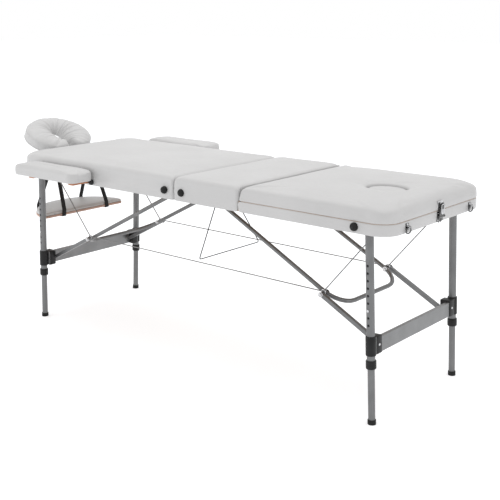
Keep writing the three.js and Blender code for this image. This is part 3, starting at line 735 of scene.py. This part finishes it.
def cradle_pillow():
    """A horseshoe of gathered vinyl round a narrow face hole, its mouth towards the table."""
    start = math.radians(CRADLE_START)
    section_steps = len(CRADLE_SECTION)
    rings = []
    for i in range(CRADLE_STEPS + 1):
        t = i / CRADLE_STEPS
        angle = start + (2 * math.pi - 2 * start) * t
        end_gap = min(t, 1 - t) * CRADLE_STEPS / END_STEPS
        shrink = math.sqrt(max(0.0, 1 - (1 - min(end_gap, 1)) ** 2)) * 0.97 + 0.03
        out = Vector((*on_ellipse(CRADLE_OUTER, angle), 0))
        inn = Vector((*on_ellipse(CRADLE_HOLE, angle), 0))
        to_table = max(0.0, math.cos(angle))
        inn.x += 20 * to_table ** 3
        if abs(inn.y) < CRADLE_MOUTH and to_table > 0:
            inn.y = math.copysign(CRADLE_MOUTH, math.sin(angle))
        if abs(out.y) < CRADLE_MOUTH + 6 and to_table > 0:
            out.y = math.copysign(CRADLE_MOUTH + 6, math.sin(angle))
        middle = (out + inn) / 2
        ring = []
        for across, height in CRADLE_SECTION:
            if height > CRADLE_SEAM - 1 and across < 0.95:
                zone = math.sin(math.pi * min(1.0, (0.95 - across) / 1.9)) ** 0.5
                height -= zone * (1.2 + 6.4 * (0.95 - across) / 1.9) * gathers(angle)
            elif across < -0.7 and height > 30:
                height -= 4.0 * gathers(angle)
            height = CRADLE_MIDDLE + (height - CRADLE_MIDDLE) * shrink
            point = middle + (out - middle) * across * shrink
            ring.append(tilted(point.x, point.y, height))
        rings.append(ring)
    pillow = piece("cradle_pillow", *skin(rings), VINYL, sharp=math.radians(75))
    heights = [CRADLE_SECTION[i % section_steps][1] for i in range(len(coordinates(pillow)))]
    held = [i for i, height in enumerate(heights) if height < CRADLE_HELD or height == CRADLE_SEAM]
    inflate(pillow, 0.004, held, pressure=2.0, growth=0.02)
    subdivide(pillow)
    ripple(pillow, 0.0016, 30.0)
    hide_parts("cradle_cushion")
    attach(pillow, "cradle_head")
    for tag, height, out in (("upper", CRADLE_SEAM, -0.8), ("lower", 22.5, 0.4)):
        seam = []
        for t in np.linspace(0.05, 0.95, 140):
            angle = start + (2 * math.pi - 2 * start) * t
            seam.append(tilted(*on_ellipse(CRADLE_OUTER, angle, out), height))
        swept(f"cradle_piping_{tag}", seam, circle(0.0016, 8), VINYL, "cradle_head", "vinyl")


cradle_pillow()


# ---- hanging arm shelf ----
SHELF_CORNER, SHELF_STRAIGHT = 0.012, 0.014


def shelf_pad():
    """The thin half-moon pad on the shelf."""
    low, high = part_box("arm_shelf_pad")
    half = (high[1] - low[1]) / 2
    back = high[0]
    depth = high[0] - low[0]
    under, top = low[2], high[2]

    def corner(side, inset, z):
        """The round corner at the table end of one side, front (-1) or back (1)."""
        r = max(SHELF_CORNER - inset, 0.001)
        x, y = back - inset - r, side * (half - inset - r)
        turn = [math.radians(90 * i / 7 + min(side, 0) * 90) for i in range(8)]
        return [np.array((x + r * math.cos(a), y + r * math.sin(a), z)) for a in turn]

    profile = [(0.03, under), (0.006, under), (0.001, under + 0.0006), (0.0, under + 0.003),
               (0.0006, top - 0.005), (0.003, top - 0.0018), (0.007, top - 0.0004), (0.014, top),
               (0.03, top + 0.0008), (0.06, top + 0.0014)]
    rings = []
    for inset, z in profile:
        ring = []
        for t in np.linspace(-1, 1, 30)[1:-1]:
            ring.append(np.array((back - inset, t * (half - inset - SHELF_CORNER), z)))
        ring += corner(1, inset, z)
        middle, reach = back - SHELF_STRAIGHT - inset, depth - SHELF_STRAIGHT - inset
        for i in range(1, 60):
            a = math.pi / 2 + math.pi * i / 60
            ring.append(np.array((middle + reach * math.cos(a), (half - inset) * math.sin(a), z)))
        ring += corner(-1, inset, z)
        rings.append(ring)
    pad = piece("arm_shelf_cushion", *skin(rings), VINYL, sharp=math.radians(70))
    held = [i for i, p in enumerate(coordinates(pad)) if p[2] < low[2] + 0.004]
    inflate(pad, 0.0015, held)
    subdivide(pad)
    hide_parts("arm_shelf_pad")
    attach(pad, "arm_shelf")


SHELF_X, SHELF_DEPTH = -888, 182
# The near run of each strap rises to the cradle's tube from its corner above the shelf.
STRAP_X, STRAP_Z = SHELF_X + 1.5, 461
STRAP_TOP_X, STRAP_TOP_Z = -955.7, 675.6
BUCKLE_Z = 610


def strap_y(z):
    """Distance of a strap from the middle of the table: the loops lean together as they rise."""
    return 128 - (z - 431) * 23 / 245


def strap_loops():
    """Two webbing loops from the cradle's cross tube down round the shelf, each with a slide buckle."""
    far = SHELF_X - SHELF_DEPTH
    corners = [(STRAP_X, 432.6), (STRAP_X, STRAP_Z), (STRAP_TOP_X, STRAP_TOP_Z), (-960.6, 680.6),
               (-969.4, 680.6), (-974.3, STRAP_TOP_Z), (far - 1.5, STRAP_Z), (far - 1.5, 432.6)]
    for side, label in ((-1, "front"), (1, "back")):
        path = []
        for i, (x, z) in enumerate(corners):
            x1, z1 = corners[(i + 1) % len(corners)]
            steps = max(2, int(math.hypot(x1 - x, z1 - z) / 9))
            for k in range(steps):
                px, pz = x + (x1 - x) * k / steps, z + (z1 - z) * k / steps
                path.append(at(px, strap_y(pz) * side, pz))
        section = rounded_box(0.0009, 0.011, 0.0008, 2)
        swept(f"strap_{label}", path, section, WEBBING, "arm_shelf", "webbing", up=(0, 1, 0), closed=True,
              replaced=(f"shelf_strap_{label}",))
        lean = strap_y(BUCKLE_Z) * side
        x = STRAP_X - (BUCKLE_Z - STRAP_Z) / (STRAP_TOP_Z - STRAP_Z) * (STRAP_X - STRAP_TOP_X)
        rise = Vector((STRAP_TOP_X - STRAP_X, 0, STRAP_TOP_Z - STRAP_Z)).normalized()
        centre = at(x, lean, BUCKLE_Z)
        for offset in (-0.011, 0.0, 0.011):
            middle = centre + rise * offset
            bar(f"buckle_{label}_{int(offset * 1000) + 11}", middle + Vector((0.0005, -0.014, 0)),
                middle + Vector((0.0005, 0.014, 0)), 0.0026, 0.0017, 0.0012, PLASTIC, "arm_shelf",
                "black_plastic")
        for edge in (-0.0145, 0.0145):
            start = centre + rise * -0.0125 + Vector((0.0005, edge, 0))
            end = centre + rise * 0.0125 + Vector((0.0005, edge, 0))
            bar(f"buckle_side_{label}_{'low' if edge < 0 else 'high'}", start, end, 0.0017, 0.0024,
                0.0012, PLASTIC, "arm_shelf", "black_plastic", up=(1, 0, 0))


shelf_pad()
strap_loops()


# ---- cables ----
KNEE_X, KNEE_Z = 612.8, 395.8
CABLE_Y, CABLE_END, CABLE_TOP_Z = 210, 836, 659
# Half the length of the middle piece of each cable.
BLEND_X = 400
CABLE_RADIUS = 0.0021
CABLE_PITCH = 0.012


def straight(start, end, pitch):
    start, end = Vector(start), Vector(end)
    steps = max(2, int((end - start).length / pitch))
    return [start + (end - start) * i / steps for i in range(steps + 1)]


def steel_cables():
    """Each cable runs from the end rails to the knees of the linkage and along the table between them."""
    for y, label in ((-CABLE_Y, "front"), (CABLE_Y, "back")):
        strand = circle(CABLE_RADIUS, 8)
        first = True
        for end, side in ((-1, "left"), (1, "right")):
            anchor, knee = at(end * CABLE_END, y, CABLE_TOP_Z), at(end * KNEE_X, y, KNEE_Z)
            middle = at(end * BLEND_X, y, KNEE_Z)
            for name, a, b in (("upper", anchor, knee), ("lower", middle, knee)):
                part = swept(f"cable_{label}_{side}_{name}", straight(a, b, CABLE_PITCH), strand,
                             CABLE_STEEL, None, "steel", up=(0, 1, 0),
                             replaced=(f"cable_{label}",) if first else ())
                first = False
                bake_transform(part)
        a, b = at(-BLEND_X, y, KNEE_Z), at(BLEND_X, y, KNEE_Z)
        part = swept(f"cable_{label}_middle", straight(a, b, CABLE_PITCH), strand, CABLE_STEEL, None,
                     "steel", up=(0, 1, 0))
        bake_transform(part)


def elastic():
    """The cord that pulls the two cables together when the table folds."""
    corners = [at(100, -183, 654), at(0, -183, 396), at(0, 183, 396), at(-200, 183, 654)]
    path = []
    for start, end in zip(corners, corners[1:]):
        path += straight(start, end, 0.008)[:-1]
    path.append(corners[-1])
    for _ in range(2):
        inner = [(path[i - 1] + path[i] * 2 + path[i + 1]) / 4 for i in range(1, len(path) - 1)]
        path = [path[0]] + inner + [path[-1]]
    part = swept("elastic_cord_fine", path, circle(0.002, 10), WEBBING, None, "webbing", up=(0.3, 0.2, 0.9),
                 replaced=("elastic_cord",))
    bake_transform(part)


steel_cables()
elastic()


# ---- fittings on the legs ----
# Profiles are pairs of radius and height along the axis.
LEG_COLLAR = [
    (0.0142, 0), (0.0168, 0.0002), (0.0176, 0.0015), (0.0178, 0.008), (0.0173, 0.0085), (0.0173, 0.0095),
    (0.0178, 0.010), (0.0178, 0.019), (0.0173, 0.0195), (0.0173, 0.0205), (0.0178, 0.021), (0.0176, 0.0275),
    (0.0168, 0.0288), (0.0128, 0.0290), (0.0126, 0.0270), (0.0142, 0.0265)]
LEG_SLEEVE = [
    (0.0145, 0), (0.0170, 0.0003), (0.0176, 0.002), (0.0177, 0.030), (0.0177, 0.062), (0.0176, 0.0645),
    (0.0170, 0.0660), (0.0145, 0.0662)]
# A thin black sleeve inside the upper tube, painted shade: it makes the adjusting holes look dark like the
# shaded inside of a tube.
HOLE_SHADE_SLEEVE = [(0.01205, 0), (0.0123, 0), (0.0123, 0.250), (0.01205, 0.250)]
BRACKET_SCREW = [
    (0.0001, 0.0018), (0.0030, 0.0016), (0.0044, 0.0008), (0.0048, 0), (0.0048, -0.003), (0.0001, -0.003)]
BRACE_BOLT = [
    (0.0001, 0.0045), (0.0035, 0.0042), (0.0055, 0.003), (0.0062, 0.0012), (0.0062, 0), (0.0001, 0)]
KNEE_BOLT = [
    (0.0001, 0.0065), (0.0040, 0.0062), (0.0060, 0.0050), (0.0066, 0.0030), (0.0066, 0.0012),
    (0.0098, 0.0011), (0.0100, 0.0), (0.0001, 0.0)]
# Height of the brackets and brace bolts along the leg, from its axle.
BRACKET_Z = -0.396


def leg_fittings():
    for end, side in ((-1, "left"), (1, "right")):
        for y_sign, label in ((-1, "front"), (1, "back")):
            y = y_sign * LEG_Y
            axis = leg_at(end, LEG_AXIS, y, -1) - leg_at(end, LEG_AXIS, y, 0)
            tag = f"{side}_{label}"
            for name, profile, height in (("collar", LEG_COLLAR, -0.4445), ("sleeve", LEG_SLEEVE, -0.3615)):
                turned(f"{tag}_{name}", profile, leg_at(end, LEG_AXIS, y, height), axis, PLASTIC,
                       f"{side}_legs", "black_plastic", closed=True)
            inner = y - y_sign * 0.0130
            far = y - y_sign * 0.0462
            bar(f"{tag}_bracket", leg_at(end, 0.0015, inner, BRACKET_Z), leg_at(end, 0.0015, far, BRACKET_Z),
                0.0206, 0.0312, 0.003, PLASTIC, f"{side}_legs", "black_plastic", up=axis)
            # The black sleeve is painted shade behind the adjusting holes.
            turned(f"{tag}_painted_hole_shade", HOLE_SHADE_SLEEVE, leg_at(end, LEG_AXIS, y, -0.100), axis, PLASTIC,
                   f"{side}_legs", "black_plastic", closed=True)
            screw = leg_at(end, 0.0222, (inner + far) / 2, BRACKET_Z)
            turned(f"{tag}_bracket_screw", BRACKET_SCREW, screw, Vector((end, 0, 0)), CHROME,
                   f"{side}_legs", "steel", sides=20)


def knee_bolts():
    for end, side in ((-1, "left"), (1, "right")):
        for y_sign, label in ((-1, "front"), (1, "back")):
            centre = leg_at(end, -0.011, y_sign * 0.2315, BRACKET_Z)
            turned(f"{side}_{label}_brace_bolt", BRACE_BOLT, centre, (0, y_sign, 0), CHROME,
                   f"{side}_legs", "steel", sides=20)
            for place, face in ((0.2283, 1), (0.1877, -1)):
                which = "outer" if face > 0 else "inner"
                centre = at(end * KNEE_X, y_sign * place * 1000, KNEE_Z - 8)
                turned(f"{side}_{label}_knee_bolt_{which}", KNEE_BOLT, centre, (0, y_sign * face, 0),
                       CHROME, f"{side}_u_bar", "steel", sides=20)
            eye = [at(end * KNEE_X + 7.5 * math.cos(a), y_sign * CABLE_Y, KNEE_Z - 1.5 + 7.5 * math.sin(a))
                   for a in np.linspace(0, 2 * math.pi, 24, endpoint=False)]
            swept(f"{side}_{label}_cable_eye", eye, circle(0.0022, 8), CHROME, f"{side}_u_bar", "steel",
                  up=(0, 1, 0), closed=True)


leg_fittings()
knee_bolts()


# ---- feet, rings and handles on the outside ----
FOOT_DOME = [
    (0.0001, 0.0120), (0.0050, 0.0119), (0.0090, 0.0110), (0.0120, 0.0090), (0.0138, 0.0055),
    (0.0142, 0.0020), (0.0142, 0.0), (0.0142, -0.002), (0.0001, -0.002)]
FOOT_SCREW = [(0.0001, 0.0016), (0.0026, 0.0014), (0.0038, 0.0006), (0.0040, -0.0005), (0.0001, -0.0005)]
CLAMP_KNOB = [
    (0.0001, 0.0150), (0.0060, 0.0148), (0.0100, 0.0130), (0.0115, 0.0100), (0.0118, 0.0050),
    (0.0095, 0.0030), (0.0090, 0.0), (0.0001, 0.0)]
RING_SCREW = [(0.0001, 0.0022), (0.0028, 0.0019), (0.0042, 0.0008), (0.0043, 0.0), (0.0001, 0.0)]
LATCH_RIVET = [(0.0001, 0.0012), (0.0016, 0.001), (0.0024, 0.0003), (0.0024, -0.001), (0.0001, -0.001)]


def carry_feet():
    """The rubber buttons on the long side that the folded table stands on, and the armrest clamp knobs."""
    places = [
        (-44, 687, "left_half"), (44, 687, "right_half"), (-804, 675, "left_half"), (804, 675, "right_half")]
    for x, z, body in places:
        tag = str(x).replace("-", "m")
        turned(f"carry_foot_{tag}", FOOT_DOME, at(x, -320.5, z), (0, -1, 0), RUBBER, body, "rubber")
        turned(f"foot_screw_{tag}", FOOT_SCREW, at(x, -332.2, z), (0, -1, 0), PLASTIC, body,
               "black_plastic", sides=18)
    for x in (-453, -755):
        for side in (-1, 1):
            tag = f"clamp_knob_{'far' if x < -500 else 'near'}_{'front' if side < 0 else 'back'}"
            turned(tag, CLAMP_KNOB, at(x, side * 320.3, 668), (0, side, 0), PLASTIC, "left_half",
                   "black_plastic")


def hanging_rings():
    """Two steel rings on the backrest end that the shoulder strap clips to."""
    for y in (-212, 212):
        tag = "front" if y < 0 else "back"
        path = []
        for i in range(40):
            a = 2 * math.pi * i / 40
            squash = 1.0 if math.sin(a) > 0 else 0.7
            path.append(at(937.5, y + 14.5 * math.cos(a), 662 + 12 * math.sin(a) * squash))
        swept(f"strap_ring_{tag}", path, circle(0.0022, 10), DARK_REFLECTION_STEEL, "right_half", "steel", up=(1, 0, 0),
              closed=True)
        bar(f"ring_plate_{tag}", at(931.3, y, 664), at(931.3, y, 686), 0.0095, 0.0010, 0.0008, DARK_REFLECTION_STEEL,
            "right_half", "steel", up=(1, 0, 0))
        corners = [(931.5, 678), (938.5, 677.5), (940.8, 674.5), (938.5, 670.8), (931.5, 669.5)]
        loop = [at(x, y, z) for x, z in corners]
        swept(f"ring_clip_{tag}", loop, rounded_box(0.0080, 0.0008, 0.0007, 2), CHROME, "right_half", "steel",
              up=(0, 0.02, 1))
        turned(f"ring_screw_{tag}", RING_SCREW, at(932.2, y, 682), (1, 0, 0), CHROME, "right_half",
               "steel", sides=16)


def latch_strike():
    """The hook plate on the backrest, the bow that catches it, and the small parts of the latch."""
    bar("latch_strike", at(930.8, 0, 697), at(930.8, 0, 725), 0.0165, 0.0010, 0.0008, CHROME, "backrest",
        "steel", up=(1, 0, 0))
    hook = [at(931, 0, 712), at(935.5, 0, 712.5), at(938.6, 0, 716), at(938.0, 0, 720)]
    swept("latch_hook", hook, rounded_box(0.0100, 0.0009, 0.0008, 2), DARK_REFLECTION_STEEL, "backrest", "steel",
          up=(0, 0.02, 1))
    bow = [at(941.0, -9.5, 684), at(941.0, -9.5, 707), at(940.6, -7.0, 712.5), at(940.4, 0, 714),
           at(940.6, 7.0, 712.5), at(941.0, 9.5, 707), at(941.0, 9.5, 684)]
    swept("latch_bow", bow, circle(0.0016, 10), CHROME, "latch_lever", "steel", up=(1, 0, 0))
    bar("latch_rib", at(939.6, 3.5, 679), at(939.6, 3.5, 704), 0.0048, 0.0012, 0.0011, CHROME,
        "latch_lever", "steel", up=(1, 0, 0))
    for side, tag in ((-1, "front"), (1, "back")):
        bar(f"latch_toe_{tag}", at(931.9, side * 11, 664), at(931.9, side * 4.5, 652.5), 0.0042, 0.0012,
            0.0010, DARK_REFLECTION_STEEL, "right_half", "steel", up=(1, 0, 0))
    for z in (661, 684):
        turned(f"latch_rivet_{z}", LATCH_RIVET, at(932.6, -15, z), (1, 0, 0), CHROME, "right_half", "steel",
               sides=16)


def carry_handles():
    """A webbing handle on the back long side of each half."""
    for x, body in ((-190, "left_half"), (190, "right_half")):
        path = []
        for t in np.linspace(0, 1, 36):
            bow = math.sin(math.pi * t) ** 0.6
            path.append(at(x - 75 + 150 * t, 321.6 + 15 * bow, 692 - 10 * bow))
        tag = "left" if x < 0 else "right"
        swept(f"carry_handle_{tag}", path, rounded_box(0.0013, 0.0125, 0.0011, 3), WEBBING, body, "webbing")
        for end in (-1, 1):
            centre = at(x + end * 80, 321.6, 692)
            bar(f"handle_plate_{tag}_{'a' if end < 0 else 'b'}", centre - Vector((0.011, 0, 0)),
                centre + Vector((0.011, 0, 0)), 0.0014, 0.0145, 0.0012, PLASTIC, body, "black_plastic")


carry_feet()
hanging_rings()
latch_strike()
carry_handles()


# ---- studio ----
def add_light(name, place, target, size, power):
    data = bpy.data.lights.new(name, "AREA")
    data.shape = "RECTANGLE"
    data.size, data.size_y = size
    data.energy = power
    lamp = bpy.data.objects.new(name, data)
    lamp.location = place
    lamp.rotation_euler = (Vector(target) - Vector(place)).to_track_quat("-Z", "Y").to_euler()
    scene.collection.objects.link(lamp)


def studio():
    floor = piece("floor", [(-30, -30, 0), (30, -30, 0), (30, 30, 0), (-30, 30, 0)], [(0, 1, 2, 3)],
                  floor_material())
    world = bpy.data.worlds.new("studio")
    scene.world = world
    world.use_nodes = True
    background = world.node_tree.nodes["Background"]
    background.inputs["Color"].default_value = (1, 1, 1, 1)
    background.inputs["Strength"].default_value = 1.0
    add_light("overhead", (-0.2, 0.6, 3.2), (0, 0, 0.6), (4.0, 3.0), 36)
    add_light("front_fill", (-2.4, -2.6, 1.2), (-0.9, 0, 0.6), (2.0, 1.6), 15)
    add_light("right_fill", (4.6, 1.2, 1.5), (0.9, 0, 0.6), (2.0, 1.6), 7)


def floor_material():
    made, tree, shader, place = start_material("pale_floor", 0.9, specular=0.1)
    cloud = noise_map(tree, place, 1.2, 2.0)
    colour = colour_ramp(tree, cloud, [(0.3, (0.69, 0.70, 0.715)), (0.7, (0.71, 0.72, 0.735))])
    tree.links.new(colour, shader.inputs["Base Color"])
    shader.inputs["Emission Color"].default_value = (1, 1, 1, 1)
    shader.inputs["Emission Strength"].default_value = 0.46
    return made


studio()
